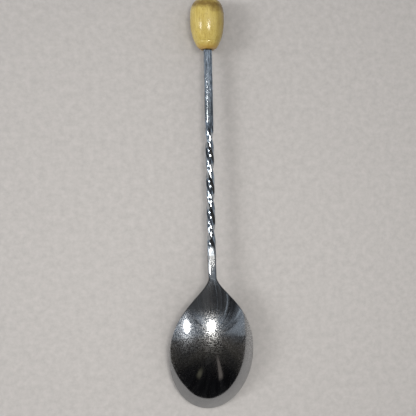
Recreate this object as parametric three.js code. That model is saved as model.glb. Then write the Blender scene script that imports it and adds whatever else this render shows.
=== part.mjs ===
// A sugar spoon lying on its face: a pressed steel bowl, a bar with two full turns of twist that is
// butt-welded to the bowl's neck, and a turned wooden knob glued on the far end of the bar.
// Millimetres, +Z up. The spoon lies along Y with the knob at +Y, on the tip of its bowl and its knob.
import * as THREE from "three";
import { LoftGeometry } from "three/addons/geometries/LoftGeometry.js";

// Bowl
const BOWL_WIDTH = 32.2; // over the rim
const BOWL_LENGTH = 44.6; // over the oval of the rim, without the neck
const BOWL_DEPTH = 8.4; // of the hollow, from the rim plane
const BOWL_WALL = 1.1;
const BOWL_CUT = 0.71; // height of the rim plane in the bowl's ellipsoid: 0 at its middle, 1 at its top
const BOWL_PITCH = 15.4; // degrees between the rim plane and the stem
const RIM_ROUNDING = 0.45; // corner radius of the rim, as a share of the wall

// Neck, the blend from the oval to the stem's section
const NECK_RUN_IN = 12.5; // inside the oval
const NECK_WAIST = 7; // beyond the oval, where the neck is as narrow as the stem
const NECK_FLARE = 0.4; // curvature of the outline where it leaves the waist, per millimetre
const NECK_REACH = 14.6; // beyond the oval, where the stem is welded on
const NECK_DROP = 6.4; // from the rim plane to the stem's axis at the weld

// Stem
const STEM_WIDTH = 3.2;
const STEM_THICKNESS = 2.3;
const STEM_CORNER = 0.75; // radius of the rolled bar's corners
const STEM_LENGTH = 76.8; // from the bowl's neck to the knob
const TWIST_START = 0.6; // from the bowl's neck
const TWIST_LENGTH = 49.3;
const TWIST_TURNS = -2; // negative is left-handed
const TWIST_EASE = 3.3; // length in which the twist starts and stops
const TANG_LENGTH = 12.5; // inside the knob
const TANG_TAPER_LENGTH = 1.5;
const TANG_TIP_SCALE = 0.75;

// Knob
const KNOB_DIAMETER = 12.7;
const KNOB_LENGTH = 19.2;
const KNOB_BELLY = 11.1; // from the shoulder to the widest place
const KNOB_SHOULDER_DIAMETER = 5.9; // the flat end that the stem goes into, before its edge is rounded
const KNOB_CROWN_POWER = 3; // superellipse of the far end: 2 is round, more is blunter
const KNOB_BORE = 4.4;
const KNOB_BORE_DEPTH = 13.5;
const KNOB_LIP = 0.8; // height of the shoulder's rounded edge
const KNOB_RING = 2.7; // from the shoulder to a fine turned line
const KNOB_RING_WIDTH = 0.45;
const KNOB_RING_DEPTH = 0.12;

// Joints
const WELD_THICKNESS = 0.4;
const GLUE_FIT = 0.05; // gap on each side of the glue
const GLUE_RECESS = 0.15; // the glue stops short of the knob's shoulder

// Facets
const BOWL_STATIONS = 30;
const NECK_STATIONS = 18;
const BOWL_ACROSS = 20;
const CORNER_STEPS = 3;
const TWIST_STATIONS = 72;
const KNOB_ARC_STEPS = 10;
const KNOB_LIP_STEPS = 4;
const KNOB_SIDES = 40;

const wallHalf = BOWL_WALL / 2;
const stemHalf = STEM_THICKNESS / 2;
const rimHalfWidth = BOWL_WIDTH / 2 - wallHalf;
const rimHalfLength = BOWL_LENGTH / 2 - wallHalf;
const pitchSlope = Math.tan(THREE.MathUtils.degToRad(BOWL_PITCH));

// The middle of the bowl's wall is an ellipsoid that the rim plane (z = 0) cuts to the oval.
const cutWidening = 1 / Math.sqrt(1 - BOWL_CUT ** 2);
const dome = new THREE.Vector3(
  rimHalfWidth * cutWidening,
  rimHalfLength * cutWidening,
  BOWL_DEPTH / (1 - BOWL_CUT),
);
const domeSink = BOWL_CUT * dome.z;

// The neck leaves the oval at neckStart, is flat from its waist on and meets the bar at neckEnd.
const neckStart = rimHalfLength - NECK_RUN_IN;
const neckEnd = rimHalfLength + NECK_REACH;
const neckSpan = neckEnd - neckStart;
const waistSpan = NECK_RUN_IN + NECK_WAIST;

function mix(from, to, share) {
  return from + (to - from) * share;
}

function smooth(share) {
  return share * share * (3 - 2 * share);
}

// A curve over a span, from one [height, slope, curvature] to another
function blend(share, span, from, to) {
  const pull = ([height, slope, curvature], away, direction) => {
    const level = height * (1 + 3 * away + 6 * away ** 2);
    const lean = direction * slope * span * away * (1 + 3 * away);
    const bend = (curvature * (span * away) ** 2) / 2;
    return (level + lean + bend) * (1 - away) ** 3;
  };
  return pull(from, share, 1) + pull(to, 1 - share, -1);
}

// Height, slope and curvature of an ellipse with the given half axes, at a place along it
function ellipse(half, length, y) {
  const height = half * Math.sqrt(1 - (y / length) ** 2);
  const slope = (-((half / length) ** 2) * y) / height;
  return [height, slope, -(half ** 4) / (length ** 2 * height ** 3)];
}

function domeHeight(x, y) {
  return dome.z * Math.sqrt(1 - (x / dome.x) ** 2 - (y / dome.y) ** 2) - domeSink;
}

// A closed section of a plate: its upper face, one rounded edge, its lower face and the other edge.
// middle and normal take v from -1 to 1 across the plate, and outward takes the edge's v.
function plateSection(across, halfThickness, corner, middle, normal, outward) {
  const place = (v, out, up) =>
    middle(v).addScaledVector(normal(v), up).addScaledVector(outward(v), out);
  const edge = (v) => {
    const points = [];
    for (const side of [1, -1]) {
      for (let step = 0; step < CORNER_STEPS; step++) {
        const turn = ((side > 0 ? step + 1 : step) / CORNER_STEPS) * (Math.PI / 2);
        const out = corner * (side > 0 ? Math.sin(turn) : Math.cos(turn));
        const rise = corner * (side > 0 ? Math.cos(turn) : Math.sin(turn));
        points.push(place(v, out, side * (halfThickness - corner + rise)));
      }
    }
    return points;
  };
  const face = (side) =>
    Array.from({ length: across + 1 }, (_, i) => {
      const v = side * ((2 * i) / across - 1);
      return middle(v).addScaledVector(normal(v), side * halfThickness);
    });
  return [...face(1), ...edge(1), ...face(-1), ...edge(-1).reverse()];
}

// The section of the bowl where the oval has turned by the given angle from the neck's end of it
function bowlSection(angle) {
  const y = rimHalfLength * Math.cos(angle);
  const halfWidth = rimHalfWidth * Math.sin(angle);
  const middle = (v) => new THREE.Vector3(v * halfWidth, y, domeHeight(v * halfWidth, y));
  const normal = (v) => {
    const point = middle(v);
    point.z += domeSink;
    return point.divide(dome).divide(dome).normalize();
  };
  const outward = (v) => {
    const along = new THREE.Vector3(
      v * rimHalfWidth * Math.cos(angle),
      -rimHalfLength * Math.sin(angle),
      0,
    );
    return normal(v).cross(along).multiplyScalar(v).normalize();
  };
  return plateSection(BOWL_ACROSS, wallHalf, RIM_ROUNDING * BOWL_WALL, middle, normal, outward);
}

// The middle of the neck's wall: share goes from 0 at the bowl to 1 at the stem
function neckMiddle(share, v) {
  const waistShare = Math.min((share * neckSpan) / waistSpan, 1);
  const oval = ellipse(rimHalfWidth, rimHalfLength, neckStart);
  const [crest, crestSlope, crestCurvature] = ellipse(dome.z, dome.y, neckStart);
  const crown = [crest - domeSink, crestSlope, crestCurvature];
  const waist = [STEM_WIDTH / 2 - STEM_CORNER, 0, NECK_FLARE];
  const halfWidth = blend(waistShare, waistSpan, oval, waist);
  const rise = blend(waistShare, waistSpan, crown, [0, 0, 0]);
  const spine = blend(share, neckSpan, crown, [-NECK_DROP, -pitchSlope, 0]);
  const top = rise + domeSink;
  const arch = Math.sqrt(top ** 2 - v ** 2 * (top ** 2 - domeSink ** 2)) - domeSink;
  return new THREE.Vector3(v * halfWidth, mix(neckStart, neckEnd, share), spine - rise + arch);
}

function neckSection(share) {
  const step = 1e-4;
  const middle = (v) => neckMiddle(share, v);
  const along = (v) => neckMiddle(share + step, v).sub(neckMiddle(share - step, v)).normalize();
  const normal = (v) => {
    const acrossDirection = neckMiddle(share, v + step).sub(neckMiddle(share, v - step));
    return acrossDirection.cross(along(v)).normalize();
  };
  const outward = (v) => along(v).cross(normal(v)).multiplyScalar(v).normalize();
  const growth = smooth(share);
  const corner = mix(RIM_ROUNDING * BOWL_WALL, STEM_CORNER, growth);
  const half = mix(wallHalf, stemHalf, growth);
  return plateSection(BOWL_ACROSS, half, corner, middle, normal, outward);
}

function bowlGeometry() {
  const sections = [];
  const lastAngle = Math.acos(neckStart / rimHalfLength);
  for (let i = 0; i < BOWL_STATIONS; i++) {
    sections.push(bowlSection(mix(Math.PI, lastAngle, i / BOWL_STATIONS)));
  }
  for (let i = 0; i <= NECK_STATIONS; i++) {
    sections.push(neckSection(i / NECK_STATIONS));
  }
  return new LoftGeometry(sections, { capEnd: true });
}

// The bar's section at a place along the stem, turned about the stem's own Y axis
function stemSection(y, angle, scale) {
  const section = plateSection(
    1,
    stemHalf,
    STEM_CORNER,
    (v) => new THREE.Vector3(v * (STEM_WIDTH / 2 - STEM_CORNER), 0, 0),
    () => new THREE.Vector3(0, 0, 1),
    (v) => new THREE.Vector3(v, 0, 0),
  );
  const axis = new THREE.Vector3(0, 1, 0);
  return section.map((point) => point.multiplyScalar(scale).applyAxisAngle(axis, angle).setY(y));
}

// Share of the twist at a distance from its start: it speeds up, runs evenly and slows down
function twistShare(distance) {
  const rate = 1 / (TWIST_LENGTH - TWIST_EASE);
  const left = TWIST_LENGTH - distance;
  if (distance < TWIST_EASE) {
    return (rate * distance ** 2) / (2 * TWIST_EASE);
  }
  if (left < TWIST_EASE) {
    return 1 - (rate * left ** 2) / (2 * TWIST_EASE);
  }
  return rate * (distance - TWIST_EASE / 2);
}

function stemGeometry() {
  const fullTwist = TWIST_TURNS * 2 * Math.PI;
  const tangEnd = STEM_LENGTH + TANG_LENGTH;
  const sections = [stemSection(WELD_THICKNESS, 0, 1)];
  for (let i = 0; i <= TWIST_STATIONS; i++) {
    const distance = (TWIST_LENGTH * i) / TWIST_STATIONS;
    sections.push(stemSection(TWIST_START + distance, fullTwist * twistShare(distance), 1));
  }
  sections.push(stemSection(tangEnd - TANG_TAPER_LENGTH, fullTwist, 1));
  sections.push(stemSection(tangEnd, fullTwist, TANG_TIP_SCALE));
  return new LoftGeometry(sections, { capStart: true, capEnd: true });
}

function weldGeometry() {
  const sections = [stemSection(0, 0, 1), stemSection(WELD_THICKNESS, 0, 1)];
  return new LoftGeometry(sections, { capStart: true, capEnd: true });
}

// The knob is turned about the stem's axis: bore, flat shoulder, elliptic body with a line, blunt crown.
function knobGeometry() {
  const radius = KNOB_DIAMETER / 2;
  const boreRadius = KNOB_BORE / 2;
  const bellyAngle = Math.acos(KNOB_SHOULDER_DIAMETER / KNOB_DIAMETER);
  const bodyLength = KNOB_BELLY / Math.sin(bellyAngle);
  const crownLength = KNOB_LENGTH - KNOB_BELLY;
  const power = 2 / KNOB_CROWN_POWER;
  const bodyRadius = (y) => radius * Math.sqrt(1 - ((KNOB_BELLY - y) / bodyLength) ** 2);

  const profile = [
    new THREE.Vector2(0, KNOB_BORE_DEPTH),
    new THREE.Vector2(boreRadius, KNOB_BORE_DEPTH),
    new THREE.Vector2(boreRadius, 0),
  ];
  for (let i = 0; i <= KNOB_LIP_STEPS; i++) {
    const share = i / KNOB_LIP_STEPS;
    const inset = (KNOB_LIP / 2) * (1 - share) ** 2;
    profile.push(new THREE.Vector2(bodyRadius(KNOB_LIP * share) - inset, KNOB_LIP * share));
  }
  for (const side of [-1, 0, 1]) {
    const y = KNOB_RING + (side * KNOB_RING_WIDTH) / 2;
    profile.push(new THREE.Vector2(bodyRadius(y) - (side ? 0 : KNOB_RING_DEPTH), y));
  }
  const ringAngle = Math.asin((KNOB_BELLY - KNOB_RING - KNOB_RING_WIDTH / 2) / bodyLength);
  for (let i = 1; i < KNOB_ARC_STEPS; i++) {
    const y = KNOB_BELLY - bodyLength * Math.sin(ringAngle * (1 - i / KNOB_ARC_STEPS));
    profile.push(new THREE.Vector2(bodyRadius(y), y));
  }
  for (let i = 0; i < KNOB_ARC_STEPS; i++) {
    const angle = (i / KNOB_ARC_STEPS) * (Math.PI / 2);
    const y = KNOB_BELLY + crownLength * Math.sin(angle) ** power;
    profile.push(new THREE.Vector2(radius * Math.cos(angle) ** power, y));
  }
  profile.push(new THREE.Vector2(0, KNOB_LENGTH));
  return new THREE.LatheGeometry(profile, KNOB_SIDES).translate(0, STEM_LENGTH, 0);
}

// The glue fills the round bore around the rectangular tang.
function glueGeometry() {
  const outline = new THREE.Shape().absarc(0, 0, KNOB_BORE / 2 - GLUE_FIT, 0, 2 * Math.PI);
  const corner = STEM_CORNER + GLUE_FIT;
  const right = STEM_WIDTH / 2 - STEM_CORNER;
  const up = stemHalf - STEM_CORNER;
  const hole = new THREE.Path();
  hole.absarc(right, up, corner, 0, Math.PI / 2);
  hole.absarc(-right, up, corner, Math.PI / 2, Math.PI);
  hole.absarc(-right, -up, corner, Math.PI, 1.5 * Math.PI);
  hole.absarc(right, -up, corner, 1.5 * Math.PI, 2 * Math.PI);
  outline.holes.push(hole.closePath());
  const options = {
    depth: TANG_LENGTH - TANG_TAPER_LENGTH - GLUE_RECESS,
    curveSegments: KNOB_SIDES / 4,
    bevelEnabled: false,
  };
  const sleeve = new THREE.ExtrudeGeometry(outline, options);
  return sleeve.rotateX(-Math.PI / 2).translate(0, STEM_LENGTH + GLUE_RECESS, 0);
}

function piece(name, geometry, color, roughness, metalness) {
  const material = new THREE.MeshStandardMaterial({ color, roughness, metalness });
  const mesh = new THREE.Mesh(geometry, material);
  mesh.name = name;
  return mesh;
}

const bowl = piece("bowl", bowlGeometry(), 0xb9bec2, 0.1, 1);
const neckWeld = piece("neck_weld", weldGeometry(), 0xb4b8bc, 0.15, 1);
const stem = piece("stem", stemGeometry(), 0xb6bbbf, 0.12, 1);
const knob = piece("knob", knobGeometry(), 0xcdb86c, 0.3, 0);
const knobGlue = piece("knob_glue", glueGeometry(), 0xa88a3c, 0.35, 0);

const handle = new THREE.Group();
handle.add(neckWeld, stem, knob, knobGlue);
handle.position.set(0, neckEnd, -NECK_DROP);
handle.rotation.x = -THREE.MathUtils.degToRad(BOWL_PITCH);

const spoon = new THREE.Group();
spoon.add(bowl, handle);

function lowestPoint(mesh) {
  spoon.updateMatrixWorld(true);
  return new THREE.Box3().setFromObject(mesh, true).min.z;
}

// Tip the spoon until its bowl and its knob lie on the same floor.
let levelTilt = 0;
let tipDownTilt = Math.PI / 6;
for (let i = 0; i < 40; i++) {
  spoon.rotation.x = (levelTilt + tipDownTilt) / 2;
  if (lowestPoint(bowl) > lowestPoint(knob)) {
    levelTilt = spoon.rotation.x;
  } else {
    tipDownTilt = spoon.rotation.x;
  }
}

const extent = new THREE.Box3().setFromObject(spoon, true);
const middle = extent.getCenter(new THREE.Vector3());
spoon.position.set(-middle.x, -middle.y, -extent.min.z);

const part = new THREE.Group();
part.add(spoon);
export default part;
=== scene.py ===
# The looks of a sugar spoon that lies on its face: a polished steel bowl, a twisted steel bar welded to
# its neck, and a varnished wooden knob glued on the far end of the bar.
import math

import bmesh
import bpy
from mathutils import Matrix, Vector


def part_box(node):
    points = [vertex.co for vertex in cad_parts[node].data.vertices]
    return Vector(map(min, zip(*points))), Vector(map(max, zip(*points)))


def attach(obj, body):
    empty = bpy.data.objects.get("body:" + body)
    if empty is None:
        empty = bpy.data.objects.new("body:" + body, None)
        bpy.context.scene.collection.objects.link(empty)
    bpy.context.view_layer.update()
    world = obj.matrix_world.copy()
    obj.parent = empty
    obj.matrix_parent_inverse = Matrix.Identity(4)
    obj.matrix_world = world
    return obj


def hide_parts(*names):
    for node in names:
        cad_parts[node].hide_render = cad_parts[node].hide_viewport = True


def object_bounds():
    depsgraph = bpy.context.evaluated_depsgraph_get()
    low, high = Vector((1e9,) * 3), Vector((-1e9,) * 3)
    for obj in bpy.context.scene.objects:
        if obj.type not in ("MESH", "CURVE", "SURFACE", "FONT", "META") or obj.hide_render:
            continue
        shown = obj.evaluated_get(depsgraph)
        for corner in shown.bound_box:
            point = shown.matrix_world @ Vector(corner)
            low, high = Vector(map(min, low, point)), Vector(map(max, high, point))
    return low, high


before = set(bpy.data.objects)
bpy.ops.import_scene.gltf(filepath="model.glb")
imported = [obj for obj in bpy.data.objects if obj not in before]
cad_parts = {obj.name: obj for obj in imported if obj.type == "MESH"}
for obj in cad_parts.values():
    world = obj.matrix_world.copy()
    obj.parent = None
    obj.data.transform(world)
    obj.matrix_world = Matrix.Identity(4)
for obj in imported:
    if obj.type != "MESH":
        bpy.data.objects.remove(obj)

cad_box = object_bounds()

MM = 0.001  # the sizes below are in millimetres, and the scene is in metres

# Bowl
BOWL_WIDTH = 32.2
BOWL_LENGTH = 44.6
BOWL_DEPTH = 8.4
BOWL_WALL = 1.1
BOWL_CUT = 0.71  # height of the rim plane in the bowl's ellipsoid: 0 at its middle, 1 at its top
BOWL_PITCH = math.radians(15.4)  # between the rim plane and the stem
RIM_ROUNDING = 0.45  # corner radius of the rim, as a share of the wall

# Neck, the blend from the oval to the stem's section
NECK_RUN_IN = 12.5  # inside the oval
NECK_WAIST = 7.0  # beyond the oval, where the neck is as narrow as the stem
NECK_FLARE = 0.4  # curvature of the outline where it leaves the waist, per millimetre
NECK_REACH = 14.6  # beyond the oval, where the stem is welded on
NECK_DROP = 6.4  # from the rim plane to the stem's axis at the weld

# Stem
STEM_WIDTH = 3.2
STEM_THICKNESS = 2.3
STEM_CORNER = 0.75
STEM_LENGTH = 76.8
TWIST_START = 0.6
TWIST_LENGTH = 49.3
TWIST_TURNS = -2  # negative is left-handed
TWIST_EASE = 3.3
TANG_LENGTH = 12.5
TANG_TAPER_LENGTH = 1.5
TANG_TIP_SCALE = 0.75

# Knob
KNOB_DIAMETER = 12.7
KNOB_LENGTH = 19.2
KNOB_BELLY = 11.1
KNOB_SHOULDER_DIAMETER = 5.9
KNOB_CROWN_POWER = 3
KNOB_BORE = 4.4
KNOB_BORE_DEPTH = 13.5
KNOB_LIP = 0.8  # rounding of the shoulder's outer edge
KNOB_MOUTH = 0.25  # rounding of the bore's edge
KNOB_RING = 2.7  # from the shoulder to a fine turned line
KNOB_RING_WIDTH = 0.45
KNOB_RING_DEPTH = 0.12

# Joints
WELD_THICKNESS = 0.4
GLUE_FIT = 0.05
GLUE_RECESS = 0.15
GLUE_DIP = 0.3  # of the glue's surface between the tang and the bore

# Fineness of the meshes
BOWL_STATIONS = 110
NECK_STATIONS = 72
BOWL_ACROSS = 60
CORNER_STEPS = 6
TWIST_STATIONS = 240
STRAIGHT_STATIONS = 40
KNOB_SIDES = 96
KNOB_ARC_STEPS = 80
ROUNDING_STEPS = 6

# Camera: where it stands and looks in the frame, in metres, and its view of a square image
CAMERA_PLACE = Vector((-0.069, -0.0011, 0.338))
CAMERA_TARGET = Vector((-0.0006, -0.0011, 0.006))
CAMERA_ROLL = math.radians(-0.85)
CAMERA_LENS = 78.4

# Stage, in metres: the spoon mirrors only the floor patch that it lies on, as if near a table's corner
FLOOR_HALF = 5.0
PATCH_LOW = Vector((-0.05, -0.125))
PATCH_HIGH = Vector((0.5, 0.5))

# Studio that the steel mirrors, with turns in radians from the knob's direction
FOLD_SEED = 29.0  # picks the pattern of the bright strip's folds
PANEL_TURN = 2.70  # of each dim panel beyond the bowl's tip
PANEL_HALF = 0.05
PANEL_EDGE = 0.12  # over which a panel fades at its top and bottom, as a share of the sky's height

wall_half = BOWL_WALL / 2
stem_half = STEM_THICKNESS / 2
rim_half_width = BOWL_WIDTH / 2 - wall_half
rim_half_length = BOWL_LENGTH / 2 - wall_half
pitch_slope = math.tan(BOWL_PITCH)

# The middle of the bowl's wall is an ellipsoid that the rim plane (z = 0) cuts to the oval.
cut_widening = 1 / math.sqrt(1 - BOWL_CUT**2)
dome = Vector((rim_half_width * cut_widening, rim_half_length * cut_widening, BOWL_DEPTH / (1 - BOWL_CUT)))
dome_sink = BOWL_CUT * dome.z

# The neck leaves the oval at neck_start, is flat from its waist on and meets the bar at neck_end.
neck_start = rim_half_length - NECK_RUN_IN
neck_end = rim_half_length + NECK_REACH
neck_span = neck_end - neck_start
waist_span = NECK_RUN_IN + NECK_WAIST


def mix(start, end, share):
    return start + (end - start) * share


def smooth(share):
    return share * share * (3 - 2 * share)


def blend(share, span, start, end):
    """A curve over a span, from one (height, slope, curvature) to another."""

    def pull(point, away, direction):
        height, slope, curvature = point
        level = height * (1 + 3 * away + 6 * away**2)
        lean = direction * slope * span * away * (1 + 3 * away)
        bend = curvature * (span * away) ** 2 / 2
        return (level + lean + bend) * (1 - away) ** 3

    return pull(start, share, 1) + pull(end, 1 - share, -1)


def ellipse(half, length, y):
    """Height, slope and curvature of an ellipse with the given half axes, at a place along it."""
    height = half * math.sqrt(1 - (y / length) ** 2)
    slope = -((half / length) ** 2) * y / height
    return height, slope, -(half**4) / (length**2 * height**3)


# Frames: the stem's axis goes through the middles of the weld and of the glue.
def node_middle(node):
    low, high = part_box(node)
    return (low + high) / 2


def handle_frame():
    """Origin at the bowl's neck, +Y along the stem to the knob, +Z on the bowl's convex side."""
    weld_middle = node_middle("neck_weld")
    along = (node_middle("knob_glue") - weld_middle).normalized()
    across = Vector((1, 0, 0))
    turn = Matrix((across, along, across.cross(along))).transposed().to_4x4()
    return Matrix.Translation(weld_middle - along * (WELD_THICKNESS / 2 * MM)) @ turn


def rim_frame(handle):
    """Origin at the middle of the rim's oval, +Y to the neck, +Z on the convex side."""
    back_to_rim = Matrix.Translation(Vector((0, -neck_end, NECK_DROP)) * MM)
    return handle @ Matrix.Rotation(BOWL_PITCH, 4, "X") @ back_to_rim


# Meshes
def running_lengths(points):
    """The distance walked at each point of a closed ring, and at its first point again."""
    walked = [0.0]
    for i, point in enumerate(points):
        walked.append(walked[-1] + (points[(i + 1) % len(points)] - point).length)
    return walked


def skin(name, rings, place, closed=False):
    """A smooth solid through rings of points, given in millimetres in the frame that place is.
    Open ends get flat caps with sharp edges.
    The UV map runs round the rings and along them, in millimetres."""
    solid = bmesh.new()
    uv = solid.loops.layers.uv.new("round_and_along")
    rows = [[solid.verts.new(place @ (point * MM)) for point in ring] for ring in rings]
    count = len(rings[0])
    round_lengths = [running_lengths(ring) for ring in rings]
    along_lengths = running_lengths([sum(ring, Vector()) / count for ring in rings])
    for row in range(len(rings) if closed else len(rings) - 1):
        after = (row + 1) % len(rings)
        for i in range(count):
            j = (i + 1) % count
            corners = [(row, i, i), (row, j, i + 1), (after, j, i + 1), (after, i, i)]
            face = solid.faces.new([rows[r][k] for r, k, _ in corners])
            face.smooth = True
            for loop, (r, _, step) in zip(face.loops, corners):
                loop[uv].uv = (round_lengths[r][step], along_lengths[r])
    if not closed:
        for ring in (rows[0], rows[-1]):
            solid.faces.new(ring)
            for i in range(count):
                solid.edges.get((ring[i], ring[(i + 1) % count])).smooth = False
    bmesh.ops.remove_doubles(solid, verts=solid.verts, dist=1e-7)
    bmesh.ops.recalc_face_normals(solid, faces=solid.faces)
    mesh = bpy.data.meshes.new(name)
    solid.to_mesh(mesh)
    solid.free()
    piece = bpy.data.objects.new(name, mesh)
    bpy.context.scene.collection.objects.link(piece)
    return piece


def plate_section(across, half_thickness, corner, middle, normal, outward):
    """A closed ring round a plate: its upper face, one rounded edge, its lower face and the other edge.
    middle and normal take v from -1 to 1 across the plate, and outward takes the edge's v."""

    def place(v, out, up):
        return middle(v) + normal(v) * up + outward(v) * out

    def face(side):
        return [place(side * (2 * i / across - 1), 0, side * half_thickness) for i in range(across + 1)]

    def edge(v):
        quarter = math.pi / 2
        top = [(i + 1) / CORNER_STEPS * quarter for i in range(CORNER_STEPS)]
        bottom = [i / CORNER_STEPS * quarter for i in range(CORNER_STEPS)]
        flat = half_thickness - corner
        upper = [place(v, corner * math.sin(a), flat + corner * math.cos(a)) for a in top]
        lower = [place(v, corner * math.cos(a), -flat - corner * math.sin(a)) for a in bottom]
        return upper + lower

    return face(1) + edge(1) + face(-1) + edge(-1)[::-1]


def dome_height(x, y):
    return dome.z * math.sqrt(1 - (x / dome.x) ** 2 - (y / dome.y) ** 2) - dome_sink


def bowl_section(angle):
    """The section of the bowl where the oval has turned by the given angle from the neck's end of it."""
    y = rim_half_length * math.cos(angle)
    half_width = rim_half_width * math.sin(angle)

    def middle(v):
        return Vector((v * half_width, y, dome_height(v * half_width, y)))

    def normal(v):
        x, y, z = middle(v)
        return Vector((x / dome.x**2, y / dome.y**2, (z + dome_sink) / dome.z**2)).normalized()

    def outward(v):
        along = Vector((v * rim_half_width * math.cos(angle), -rim_half_length * math.sin(angle), 0))
        return (normal(v).cross(along) * v).normalized()

    return plate_section(BOWL_ACROSS, wall_half, RIM_ROUNDING * BOWL_WALL, middle, normal, outward)


def neck_middle(share, v):
    """The middle of the neck's wall: share goes from 0 at the bowl to 1 at the stem."""
    waist_share = min(share * neck_span / waist_span, 1)
    oval = ellipse(rim_half_width, rim_half_length, neck_start)
    crest, crest_slope, crest_curvature = ellipse(dome.z, dome.y, neck_start)
    crown = (crest - dome_sink, crest_slope, crest_curvature)
    waist = (STEM_WIDTH / 2 - STEM_CORNER, 0, NECK_FLARE)
    half_width = blend(waist_share, waist_span, oval, waist)
    rise = blend(waist_share, waist_span, crown, (0, 0, 0))
    spine = blend(share, neck_span, crown, (-NECK_DROP, -pitch_slope, 0))
    top = rise + dome_sink
    arch = math.sqrt(top**2 - v**2 * (top**2 - dome_sink**2)) - dome_sink
    return Vector((v * half_width, mix(neck_start, neck_end, share), spine - rise + arch))


def neck_section(share):
    step = 1e-3

    def middle(v):
        return neck_middle(share, v)

    def along(v):
        return (neck_middle(share + step, v) - neck_middle(share - step, v)).normalized()

    def normal(v):
        across = neck_middle(share, v + step) - neck_middle(share, v - step)
        return across.cross(along(v)).normalized()

    def outward(v):
        return (along(v).cross(normal(v)) * v).normalized()

    growth = smooth(share)
    corner = mix(RIM_ROUNDING * BOWL_WALL, STEM_CORNER, growth)
    half = mix(wall_half, stem_half, growth)
    return plate_section(BOWL_ACROSS, half, corner, middle, normal, outward)


def make_bowl(rim):
    last_angle = math.acos(neck_start / rim_half_length)
    rings = [bowl_section(mix(math.pi, last_angle, i / BOWL_STATIONS)) for i in range(BOWL_STATIONS)]
    rings += [neck_section(i / NECK_STATIONS) for i in range(NECK_STATIONS + 1)]
    return skin("spoon_bowl", rings, rim)


def stem_section(y, angle=0.0, scale=1.0, grown=0.0):
    """The bar's section at a place along the stem, turned about the stem's own axis."""
    half_flat = STEM_WIDTH / 2 - STEM_CORNER
    ring = plate_section(
        4,
        stem_half + grown,
        STEM_CORNER + grown,
        lambda v: Vector((v * half_flat, 0, 0)),
        lambda v: Vector((0, 0, 1)),
        lambda v: Vector((v, 0, 0)),
    )
    turn = Matrix.Rotation(angle, 3, "Y")
    return [turn @ point * scale + Vector((0, y, 0)) for point in ring]


def twist_share(distance):
    """Share of the twist at a distance from its start: it speeds up, runs evenly and slows down."""
    rate = 1 / (TWIST_LENGTH - TWIST_EASE)
    left = TWIST_LENGTH - distance
    if distance < TWIST_EASE:
        return rate * distance**2 / (2 * TWIST_EASE)
    if left < TWIST_EASE:
        return 1 - rate * left**2 / (2 * TWIST_EASE)
    return rate * (distance - TWIST_EASE / 2)


def make_weld(handle):
    return skin("spoon_neck_weld", [stem_section(0), stem_section(WELD_THICKNESS)], handle)


def make_stem(handle):
    full_twist = TWIST_TURNS * 2 * math.pi
    tang_end = STEM_LENGTH + TANG_LENGTH
    rings = [stem_section(WELD_THICKNESS)]
    for i in range(TWIST_STATIONS + 1):
        distance = TWIST_LENGTH * i / TWIST_STATIONS
        rings.append(stem_section(TWIST_START + distance, full_twist * twist_share(distance)))
    for i in range(1, STRAIGHT_STATIONS + 1):
        y = mix(TWIST_START + TWIST_LENGTH, tang_end - TANG_TAPER_LENGTH, i / STRAIGHT_STATIONS)
        rings.append(stem_section(y, full_twist))
    rings.append(stem_section(tang_end, full_twist, TANG_TIP_SCALE))
    return skin("spoon_stem", rings, handle)


def quarter_turn(middle_r, middle_y, radius, start):
    """A rounded corner of a turned profile, as (radius, y) points over 90 degrees from the start angle."""
    angles = [start + i / ROUNDING_STEPS * math.pi / 2 for i in range(ROUNDING_STEPS + 1)]
    return [(middle_r + radius * math.cos(a), middle_y + radius * math.sin(a)) for a in angles]


def knob_profile():
    """Radius and height above the shoulder: bore, flat shoulder with soft edges, body and blunt crown."""
    radius = KNOB_DIAMETER / 2
    bore = KNOB_BORE / 2
    belly_angle = math.acos(KNOB_SHOULDER_DIAMETER / KNOB_DIAMETER)
    body_length = KNOB_BELLY / math.sin(belly_angle)
    power = 2 / KNOB_CROWN_POWER
    profile = [(0, KNOB_BORE_DEPTH), (bore, KNOB_BORE_DEPTH)]
    profile += quarter_turn(bore + KNOB_MOUTH, KNOB_MOUTH, KNOB_MOUTH, math.pi)
    for i in range(KNOB_ARC_STEPS):
        angle = belly_angle * (1 - i / KNOB_ARC_STEPS)
        y = KNOB_BELLY - body_length * math.sin(angle)
        lip = KNOB_LIP * max(1 - y / KNOB_LIP, 0) ** 2 / 2
        ring = KNOB_RING_DEPTH * math.exp(-(((y - KNOB_RING) / KNOB_RING_WIDTH * 2) ** 2))
        profile.append((radius * math.cos(angle) - lip - ring, y))
    for i in range(KNOB_ARC_STEPS):
        angle = i / KNOB_ARC_STEPS * math.pi / 2
        y = KNOB_BELLY + (KNOB_LENGTH - KNOB_BELLY) * math.sin(angle) ** power
        profile.append((radius * math.cos(angle) ** power, y))
    return profile + [(0, KNOB_LENGTH)]


def make_knob(knob):
    angles = [2 * math.pi * i / KNOB_SIDES for i in range(KNOB_SIDES)]
    rings = [[Vector((r * math.cos(a), y, r * math.sin(a))) for a in angles] for r, y in knob_profile()]
    return skin("wooden_knob", rings, knob)


def make_glue(handle):
    """A sleeve between the tang and the bore, with a surface that dips between them at the knob's mouth."""
    outer = KNOB_BORE / 2 - GLUE_FIT
    front = STEM_LENGTH + GLUE_RECESS
    back = STEM_LENGTH + TANG_LENGTH - TANG_TAPER_LENGTH
    inner_ring = stem_section(0, grown=GLUE_FIT)
    outer_ring = [point.normalized() * outer for point in inner_ring]

    def ring(share, y):
        return [mix(a, b, share) + Vector((0, y, 0)) for a, b in zip(inner_ring, outer_ring)]

    shares = [i / ROUNDING_STEPS for i in range(ROUNDING_STEPS + 1)]
    mouth = [ring(share, front + GLUE_DIP * 4 * share * (1 - share)) for share in shares]
    return skin("knob_glue_fill", mouth + [ring(1, back), ring(0, back)], handle, closed=True)


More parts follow.
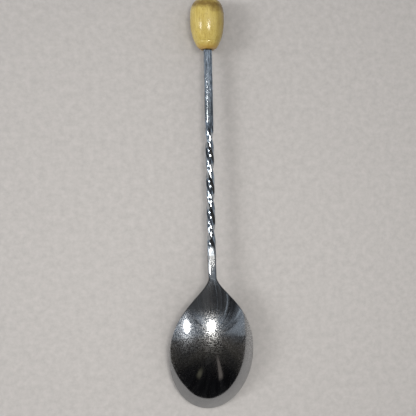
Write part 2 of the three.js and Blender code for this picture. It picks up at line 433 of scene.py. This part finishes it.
# Node materials
def new_material(name):
    material = bpy.data.materials.new(name)
    material.use_nodes = True
    return material, material.node_tree, material.node_tree.nodes["Principled BSDF"]


def set_inputs(tree, node, inputs):
    """Links a socket to an input, and sets a plain value on it."""
    for name, value in inputs.items():
        if isinstance(value, bpy.types.NodeSocket):
            tree.links.new(value, node.inputs[name])
        else:
            node.inputs[name].default_value = value


def add_node(tree, kind, inputs, **settings):
    node = tree.nodes.new(kind)
    for name, value in settings.items():
        setattr(node, name, value)
    set_inputs(tree, node, inputs)
    return node


def map_back(tree, place, location, rotation, scale):
    """Undoes a move, a turn and a scaling."""
    inputs = {"Vector": place, "Location": location, "Rotation": rotation, "Scale": scale}
    return add_node(tree, "ShaderNodeMapping", inputs, vector_type="TEXTURE").outputs[0]


def local_place(tree, place):
    """Millimetres in a frame of the spoon."""
    world_place = add_node(tree, "ShaderNodeTexCoord", {}).outputs["Object"]
    return map_back(tree, world_place, place.to_translation(), place.to_euler(), (MM, MM, MM))


def bar_place(tree):
    """Millimetres round the bar and along it."""
    return add_node(tree, "ShaderNodeUVMap", {}, uv_map="round_and_along").outputs[0]


def noise(tree, place, size, detail=2.0, roughness=0.5, distortion=0.0, turn=0.0):
    """Noise with features of the given size along each axis, in millimetres, turned about Z."""
    sized = map_back(tree, place, (0, 0, 0), (0, 0, turn), size)
    inputs = {"Vector": sized, "Scale": 1.0, "Detail": detail, "Roughness": roughness}
    return add_node(tree, "ShaderNodeTexNoise", {**inputs, "Distortion": distortion}).outputs["Fac"]


def even_noise(tree, place, size, detail=2.0, roughness=0.5):
    return noise(tree, place, (size, size, size), detail, roughness)


def calculate(tree, operation, first, second=0.0):
    return add_node(tree, "ShaderNodeMath", {0: first, 1: second}, operation=operation).outputs[0]


def spread(tree, value, low, high, to_low=0.0, to_high=1.0):
    """Maps the range from low to high to another one, and stops at its ends."""
    inputs = {"Value": value, "From Min": low, "From Max": high, "To Min": to_low, "To Max": to_high}
    return add_node(tree, "ShaderNodeMapRange", inputs).outputs[0]


def colours(tree, value, *stops):
    """A colour ramp through (place, colour) stops."""
    node = add_node(tree, "ShaderNodeValToRGB", {"Fac": value})
    ramp = node.color_ramp
    while len(ramp.elements) < len(stops):
        ramp.elements.new(0.5)
    for element, (place, colour) in zip(ramp.elements, stops):
        element.position = place
        element.color = (*colour, 1)
    return node.outputs["Color"]


def mix_colours(tree, share, first, second):
    """The node's colour inputs are sockets 6 and 7, and its colour result is output 2."""
    return add_node(tree, "ShaderNodeMix", {0: share, 6: first, 7: second}, data_type="RGBA").outputs[2]


def bump(tree, height, depth, under=None):
    """Relief of the given depth in millimetres, on top of another relief."""
    inputs = {"Height": height, "Strength": 1.0, "Distance": depth * MM}
    if under is not None:
        inputs["Normal"] = under
    return add_node(tree, "ShaderNodeBump", inputs).outputs["Normal"]


def hairlines(tree, place, turns, width, length, cover):
    """Fine scratches in several directions, as a height from 0 to 1."""
    total = None
    for turn in turns:
        lines = noise(tree, place, (length, width, length), 1.0, turn=turn)
        shown = spread(tree, lines, 1 - cover, 1 - cover + 0.06)
        total = shown if total is None else calculate(tree, "MAXIMUM", total, shown)
    return total


def polished_steel(rim):
    """Bright polish with hairlines, a speckled rubbed zone across the bowl and a satin end by the weld."""
    material, tree, shader = new_material("polished_steel")
    place = local_place(tree, rim)
    smudges = even_noise(tree, place, 6.0, 4.0, 0.6)
    waves = even_noise(tree, place, 3.0, 1.0)
    speckles = even_noise(tree, place, 0.42, 3.0, 0.7)
    scratches = hairlines(tree, place, (0.2, 0.9, 1.7, 2.6), 0.12, 4.0, 0.36)
    worn = calculate(tree, "MULTIPLY", scratches, 0.03)
    along = add_node(tree, "ShaderNodeSeparateXYZ", {0: place}).outputs["Y"]
    short_of_neck = spread(tree, along, 12.5, 19.0, 1.0, 0.1)
    beyond_tip_half = spread(tree, along, -8.0, 7.0, 0.08, 1.0)
    rubbed = calculate(tree, "MULTIPLY", short_of_neck, beyond_tip_half)
    ground = spread(tree, along, neck_end - 5.0, neck_end - 1.0, 0.0, 0.25)
    satin = calculate(tree, "ADD", worn, ground)
    wave_relief = bump(tree, waves, 0.0025)
    inputs = {
        "Base Color": colours(tree, smudges, (0.3, (0.31, 0.32, 0.33)), (0.7, (0.375, 0.385, 0.395))),
        "Metallic": 1.0,
        "Roughness": calculate(tree, "ADD", satin, spread(tree, smudges, 0.3, 0.7, 0.03, 0.06)),
        "Normal": bump(tree, scratches, 0.001, wave_relief),
        "Coat Weight": calculate(tree, "MULTIPLY", spread(tree, speckles, 0.45, 0.62), rubbed),
        "Coat IOR": 8.0,
        "Coat Roughness": 0.3,
        "Coat Normal": bump(tree, speckles, 0.03, wave_relief),
    }
    set_inputs(tree, shader, inputs)
    return material


def bar_steel(handle, name="bar_steel"):
    """Drawn and dented bar, ground satin by the weld, and smoother and tarnished just after the twist."""
    material, tree, shader = new_material(name)
    place = local_place(tree, handle)
    dents = even_noise(tree, place, 0.9, 3.0)
    streaks = noise(tree, place, (0.55, 3.0, 0.55), 4.0, 0.65)
    drawn = noise(tree, bar_place(tree), (0.17, 8.0, 1.0), 3.0)
    steel = colours(tree, streaks, (0.38, (0.19, 0.22, 0.25)), (0.62, (0.68, 0.73, 0.78)))
    along = add_node(tree, "ShaderNodeSeparateXYZ", {0: place}).outputs["Y"]
    twist_end = TWIST_START + TWIST_LENGTH
    after_twist = spread(tree, along, twist_end - 2.0, twist_end + 3.0)
    ground = spread(tree, along, 2.5, 5.5, 0.2, 0.0)
    short_of_knob = spread(tree, along, twist_end + 5.0, twist_end + 11.0, 1.0, 0.0)
    tarnished_zone = calculate(tree, "MULTIPLY", after_twist, short_of_knob)
    tarnish = calculate(tree, "MULTIPLY", tarnished_zone, 0.65)
    dent_share = spread(tree, tarnished_zone, 0.0, 1.0, 1.0, 0.25)
    dent_relief = bump(tree, calculate(tree, "MULTIPLY", dents, dent_share), 0.03)
    polish = spread(tree, after_twist, 0.0, 1.0, 0.09, 0.13)
    inputs = {
        "Base Color": mix_colours(tree, tarnish, steel, (0.10, 0.11, 0.12, 1)),
        "Metallic": 1.0,
        "Roughness": calculate(tree, "ADD", ground, polish),
        "Normal": bump(tree, drawn, 0.003, dent_relief),
    }
    set_inputs(tree, shader, inputs)
    return material


def varnished_wood(knob):
    """Straight grain along the knob, with dark pores, browner at the lip and in a worn band near the crown,
    and painted shade that darkens the +X side. The varnish shines less where the grain is dark."""
    material, tree, shader = new_material("varnished_wood")
    place = local_place(tree, knob)
    figure = noise(tree, place, (2.0, 12.0, 2.0), 3.0)
    grain = noise(tree, place, (0.45, 6.0, 0.45), 5.0, 0.6, 0.4)
    pores = noise(tree, place, (0.14, 1.1, 0.14), 2.0)
    turning_marks = noise(tree, place, (40.0, 0.25, 40.0), 1.0)
    broad_tone = calculate(tree, "MULTIPLY", figure, 0.4)
    fine_tone = calculate(tree, "MULTIPLY", grain, 0.6)
    tone = calculate(tree, "ADD", broad_tone, fine_tone)
    light_wood = (0.7, (0.58, 0.47, 0.16))
    wood = colours(tree, tone, (0.3, (0.31, 0.215, 0.043)), (0.5, (0.49, 0.38, 0.10)), light_wood)
    across, height, _ = add_node(tree, "ShaderNodeSeparateXYZ", {0: place}).outputs
    # Painted shade: the colour darkens towards a dark brown across the +X side, which faces away from the
    # side lamp.
    side_painted_shade = mix_colours(tree, spread(tree, across, 1.5, 6.5, 0.0, 0.75), wood, (0.19, 0.125, 0.022, 1))
    wobble = calculate(tree, "MULTIPLY", even_noise(tree, place, 3.0, 4.0, 0.6), 5.0)
    slant = calculate(tree, "MULTIPLY", across, 0.2)
    wavy_height = calculate(tree, "ADD", calculate(tree, "ADD", height, wobble), slant)
    off_band = calculate(tree, "ABSOLUTE", calculate(tree, "SUBTRACT", wavy_height, 18.5))
    dashed = mix_colours(tree, spread(tree, pores, 0.34, 0.44, 0.45, 0.0), side_painted_shade, (0.20, 0.12, 0.022, 1))
    stained = mix_colours(tree, spread(tree, off_band, 0.3, 2.4, 0.85, 0.0), dashed, (0.15, 0.09, 0.02, 1))
    lipped = mix_colours(tree, spread(tree, height, 0.2, 2.2, 0.8, 0.0), stained, (0.35, 0.195, 0.032, 1))
    grain_relief = bump(tree, grain, 0.02)
    inputs = {
        "Base Color": lipped,
        "Roughness": 0.5,
        "Specular IOR Level": 0.2,
        "Coat Weight": spread(tree, grain, 0.35, 0.6, 0.35, 1.0),
        "Coat IOR": 1.65,
        "Coat Roughness": 0.17,
        "Normal": bump(tree, spread(tree, pores, 0.3, 0.5), 0.02, grain_relief),
        "Coat Normal": bump(tree, turning_marks, 0.022, grain_relief),
    }
    set_inputs(tree, shader, inputs)
    return material


def cured_glue(handle):
    material, tree, shader = new_material("cured_glue")
    cloud = even_noise(tree, local_place(tree, handle), 1.1, 3.0)
    inputs = {
        "Base Color": colours(tree, cloud, (0.3, (0.34, 0.18, 0.035)), (0.7, (0.52, 0.30, 0.07))),
        "Roughness": spread(tree, cloud, 0.3, 0.7, 0.2, 0.4),
        "Normal": bump(tree, cloud, 0.05),
    }
    set_inputs(tree, shader, inputs)
    return material


def pale_floor():
    material, tree, shader = new_material("pale_floor")
    mottle = even_noise(tree, local_place(tree, Matrix()), 2.5, 6.0, 0.7)
    floor = colours(tree, mottle, (0.35, (0.375, 0.363, 0.354)), (0.65, (0.44, 0.424, 0.414)))
    set_inputs(tree, shader, {"Base Color": floor, "Roughness": 0.9})
    return material


def dress(piece, material, node):
    """Gives a piece its finish, and puts it in the place of its solid."""
    piece.data.materials.append(material)
    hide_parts(node)
    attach(piece, "root")


handle = handle_frame()
rim = rim_frame(handle)
knob = handle @ Matrix.Translation((0, STEM_LENGTH * MM, 0))
dress(make_bowl(rim), polished_steel(rim), "bowl")
dress(make_weld(handle), bar_steel(handle, "weld_steel"), "neck_weld")
dress(make_stem(handle), bar_steel(handle), "stem")
dress(make_knob(knob), varnished_wood(knob), "knob")
dress(make_glue(handle), cured_glue(handle), "knob_glue")


# Floor
def rectangle(low, high):
    return [(low.x, low.y), (high.x, low.y), (high.x, high.y), (low.x, high.y)]


def add_floor(name, corners, faces, material):
    mesh = bpy.data.meshes.new(name)
    mesh.from_pydata([(x, y, cad_box[0].z) for x, y in corners], [], faces)
    mesh.materials.append(material)
    floor = bpy.data.objects.new(name, mesh)
    bpy.context.scene.collection.objects.link(floor)
    return floor


def make_floor():
    material = pale_floor()
    far_corner = Vector((FLOOR_HALF, FLOOR_HALF))
    patch = rectangle(PATCH_LOW, PATCH_HIGH)
    surround = rectangle(-far_corner, far_corner) + patch
    add_floor("floor", patch, [(0, 1, 2, 3)], material)
    sides = [(i, (i + 1) % 4, (i + 1) % 4 + 4, i + 4) for i in range(4)]
    add_floor("floor_surround", surround, sides, material).visible_glossy = False


# Lights
def soft_light(
    name, aim, direction, distance, size, long_axis, power, colour, spread_angle=180, mirrored=True
):
    """An elliptic lamp in a direction from the place it is aimed at, with its first size along long_axis.
    Its light leaves within spread_angle, in degrees.
    A lamp that isn't mirrored lights the scene, but can't be seen in shiny surfaces."""
    back = direction.normalized()
    along = (long_axis - back * long_axis.dot(back)).normalized()
    light = bpy.data.lights.new(name, "AREA")
    light.shape = "ELLIPSE"
    light.size, light.size_y = size
    light.energy = power
    light.color = colour
    light.spread = math.radians(spread_angle)
    lamp = bpy.data.objects.new(name, light)
    turn = Matrix((along, back.cross(along), back)).transposed().to_4x4()
    lamp.matrix_world = Matrix.Translation(aim + back * distance) @ turn
    lamp.visible_glossy = mirrored
    bpy.context.scene.collection.objects.link(lamp)


# Surroundings
def dim_panel(tree, around, height, side, low, high):
    """Where a soft upright panel of light is seen: on the +X side for 1, and on the -X side for -1."""
    aside = calculate(tree, "ABSOLUTE", calculate(tree, "SUBTRACT", around, side * PANEL_TURN))
    within = spread(tree, aside, PANEL_HALF, 2 * PANEL_HALF, 1.0, 0.0)
    above = spread(tree, height, low, low + PANEL_EDGE)
    below = spread(tree, height, high - PANEL_EDGE, high, 1.0, 0.0)
    return calculate(tree, "MULTIPLY", within, calculate(tree, "MULTIPLY", above, below))


def make_world():
    """A dim studio with a broad bluish strip of light on the handle's side, folded and slit like a curtain,
    and two dim panels beyond the bowl's tip. Dull surfaces get an even pale light instead."""
    world = bpy.data.worlds.new("studio")
    world.use_nodes = True
    tree = world.node_tree
    coordinates = add_node(tree, "ShaderNodeTexCoord", {})
    direction = add_node(tree, "ShaderNodeSeparateXYZ", {0: coordinates.outputs["Generated"]})
    sideways = calculate(tree, "MULTIPLY", direction.outputs["X"], direction.outputs["X"])
    drooping = calculate(tree, "ADD", direction.outputs["Y"], calculate(tree, "MULTIPLY", sideways, 0.12))
    strip_place = spread(tree, drooping, -1, 1)
    strip = colours(
        tree,
        strip_place,
        (0.20, (0.007, 0.007, 0.008)),
        (0.32, (0.060, 0.054, 0.045)),
        (0.47, (0.100, 0.090, 0.080)),
        (0.55, (0.32, 0.36, 0.41)),
        (0.64, (0.46, 0.52, 0.60)),
        (0.70, (0.10, 0.104, 0.11)),
        (0.80, (0.075, 0.074, 0.075)),
    )
    around = calculate(tree, "ARCTAN2", direction.outputs["X"], direction.outputs["Y"])
    height = direction.outputs["Z"]
    fan = add_node(tree, "ShaderNodeCombineXYZ", {0: around, 1: height, 2: FOLD_SEED}).outputs[0]
    folds = noise(tree, fan, (0.2, 1.5, 1.0), 3.0)
    slits = spread(tree, noise(tree, fan, (0.06, 0.9, 1.0), 2.0), 0.55, 0.64)
    inside_strip = colours(
        tree,
        strip_place,
        (0.50, (0.0, 0.0, 0.0)),
        (0.55, (0.6, 0.6, 0.6)),
        (0.68, (1.0, 1.0, 1.0)),
        (0.76, (0.0, 0.0, 0.0)),
    )
    folded = mix_colours(tree, spread(tree, folds, 0.3, 0.6), (0.02, 0.02, 0.022, 1), strip)
    lit_slits = calculate(tree, "MULTIPLY", slits, inside_strip)
    reflected = mix_colours(tree, lit_slits, folded, (0.75, 0.85, 0.95, 1))
    right_panel = dim_panel(tree, around, height, 1, 0.34, 0.90)
    left_panel = dim_panel(tree, around, height, -1, 0.36, 0.66)
    half_lit = mix_colours(tree, right_panel, reflected, (0.24, 0.21, 0.19, 1))
    lit = mix_colours(tree, left_panel, half_lit, (0.16, 0.15, 0.11, 1))
    path = add_node(tree, "ShaderNodeLightPath", {})
    seen = mix_colours(tree, path.outputs["Is Diffuse Ray"], lit, (0.66, 0.65, 0.645, 1))
    tree.links.new(seen, tree.nodes["Background"].inputs["Color"])
    bpy.context.scene.world = world


def make_camera():
    forward = (CAMERA_TARGET - CAMERA_PLACE).normalized()
    level_right = forward.cross(Vector((0, 1, 0))).normalized()
    level_up = level_right.cross(forward)
    right = level_right * math.cos(CAMERA_ROLL) + level_up * math.sin(CAMERA_ROLL)
    up = level_up * math.cos(CAMERA_ROLL) - level_right * math.sin(CAMERA_ROLL)
    data = bpy.data.cameras.new("camera")
    data.lens = CAMERA_LENS
    data.clip_start = 0.01
    camera = bpy.data.objects.new("camera", data)
    turn = Matrix((right, up, -forward)).transposed().to_4x4()
    camera.matrix_world = Matrix.Translation(CAMERA_PLACE) @ turn
    bpy.context.scene.collection.objects.link(camera)
    bpy.context.scene.camera = camera


make_floor()
make_world()
make_camera()
soft_light(
    "side_light",
    aim=Vector((-0.010, -0.045, 0.012)),
    direction=Vector((-0.85, 0.10, 0.52)),
    distance=1.0,
    size=(0.24, 0.16),
    long_axis=Vector((0.5, 0, 0.85)),
    power=1.4,
    colour=(0.95, 0.97, 1.0),
)
soft_light(
    "top_light",
    aim=Vector((-0.002, -0.044, 0.015)),
    direction=Vector((0.0, 0.19, 0.98)),
    distance=0.5,
    size=(0.16, 0.10),
    long_axis=Vector((1, 0.12, 0)),
    power=0.12,
    spread_angle=60,
    colour=(1.0, 0.97, 0.92),
)
soft_light(
    "shadow_light",
    aim=Vector((0, 0, 0)),
    direction=Vector((-0.76, 0.08, 0.60)),
    distance=1.0,
    size=(0.30, 0.30),
    long_axis=Vector((0, 1, 0)),
    power=3.4,
    colour=(1.0, 0.98, 0.96),
    mirrored=False,
)
bpy.context.scene.view_settings.view_transform = "Standard"
